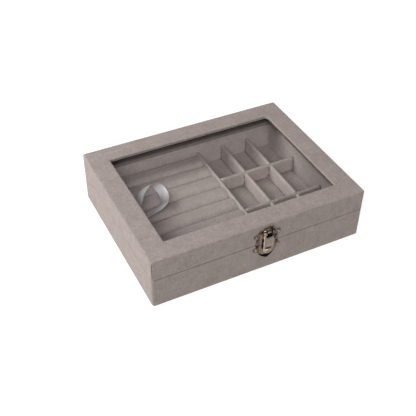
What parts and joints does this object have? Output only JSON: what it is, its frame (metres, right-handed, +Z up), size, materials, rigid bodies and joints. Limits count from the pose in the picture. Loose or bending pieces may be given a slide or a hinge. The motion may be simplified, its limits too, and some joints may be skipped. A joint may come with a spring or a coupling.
{
  "type": "jewelry case",
  "caption": "Velvet-covered jewelry case with a glazed hinged lid, padded ring rolls, a divided tray, a ribbon lid stay and a metal hasp clasp.",
  "frame": {"origin": "centre of the underside", "axes": "+X along the width, to the right as seen from the clasp side; the front with the clasp faces -Y; +Z is up"},
  "size_m": [0.2, 0.166, 0.05],
  "materials": {
    "cover_velvet": "short taupe-grey nap",
    "lining_velvet": "short taupe-grey nap",
    "board": "plain fibreboard",
    "card": "plain grey card",
    "felt": "dark felt",
    "glass": "clear",
    "clasp_metal": "aged nickel plate",
    "hinge_metal": "nickel plate",
    "satin": "silver-grey satin"
  },
  "bodies": {
    "base": {"base_felt_sheet": "felt", "base_velvet_wrap": "cover_velvet", "base_front_board": "board", "base_back_board": "board", "base_left_board": "board", "base_right_board": "board", "base_bottom_board": "board", "base_floor_liner": "lining_velvet", "base_front_liner": "lining_velvet", "base_back_liner": "lining_velvet", "base_left_liner": "lining_velvet", "base_right_liner": "lining_velvet", "main_divider": "lining_velvet", "long_divider_1": "lining_velvet", "long_divider_2": "lining_velvet", "cross_divider_1": "lining_velvet", "cross_divider_2": "lining_velvet", "ring_roll_1": "lining_velvet", "ring_roll_2": "lining_velvet", "ring_roll_3": "lining_velvet", "ring_roll_4": "lining_velvet", "ring_roll_5": "lining_velvet", "ring_roll_6": "lining_velvet", "ring_roll_7": "lining_velvet", "ring_roll_8": "lining_velvet", "clasp_base_plate": "clasp_metal", "clasp_base_nails": "hinge_metal", "left_hinge_base_leaf": "hinge_metal", "right_hinge_base_leaf": "hinge_metal", "left_hinge_pin": "hinge_metal", "right_hinge_pin": "hinge_metal", "hinge_base_nails": "hinge_metal", "ribbon_stay": "satin"},
    "lid": {"lid_velvet_wrap": "cover_velvet", "lid_front_board": "board", "lid_back_board": "board", "lid_left_board": "board", "lid_right_board": "board", "lid_top_board": "board", "glass_pane": "glass", "glass_retainer_frame": "card", "lid_front_liner": "lining_velvet", "lid_back_liner": "lining_velvet", "lid_left_liner": "lining_velvet", "lid_right_liner": "lining_velvet", "clasp_lid_plate": "clasp_metal", "clasp_lid_nails": "hinge_metal", "clasp_pin": "hinge_metal", "left_hinge_lid_leaf": "hinge_metal", "right_hinge_lid_leaf": "hinge_metal", "hinge_lid_nails": "hinge_metal"},
    "hasp": {"clasp_hasp": "clasp_metal"}
  },
  "joints": [
    {"name": "lid_hinge", "type": "hinge", "parent": "base", "child": "lid", "pos_m": [0, 0.07945, 0.03], "axis": [-1, 0, 0], "range_deg": [0, 100], "deforming": ["ribbon_stay"]},
    {"name": "hasp_hinge", "type": "hinge", "parent": "lid", "child": "hasp", "pos_m": [0.0036, -0.0805, 0.0432], "axis": [-1, 0, 0], "range_deg": [-4, 110]}
  ]
}
